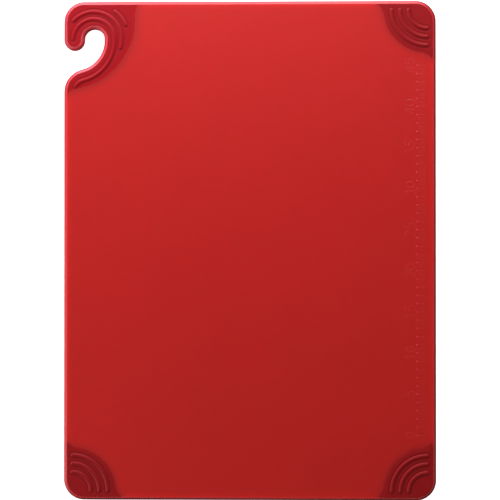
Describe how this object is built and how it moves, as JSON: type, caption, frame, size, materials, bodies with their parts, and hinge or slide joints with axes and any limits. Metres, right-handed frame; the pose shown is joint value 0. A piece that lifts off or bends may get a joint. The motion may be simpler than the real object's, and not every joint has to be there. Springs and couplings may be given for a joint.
{
  "type": "cutting board",
  "caption": "Rectangular plastic cutting board with rounded edges, a hanging hook cut into one corner, soft ridged grips inlaid in the corners and a moulded ruler along one side.",
  "frame": {"origin": "below the middle of the board, level with the crests of the lower grip ridges, which it rests on", "axes": "+X across the board towards the ruler side, +Y along the board towards the hook end, +Z out of the upper face"},
  "size_m": [0.4546, 0.6096, 0.0157],
  "materials": {
    "board_plastic": "matte, fine even grain",
    "grip_rubber": "satin, smooth"
  },
  "bodies": {
    "root": {"board_core": "board_plastic", "hook_grip_upper": "grip_rubber", "hook_grip_lower": "grip_rubber", "back_right_grip_upper": "grip_rubber", "back_right_grip_lower": "grip_rubber", "front_left_grip_upper": "grip_rubber", "front_left_grip_lower": "grip_rubber", "front_right_grip_upper": "grip_rubber", "front_right_grip_lower": "grip_rubber"}
  },
  "joints": []
}
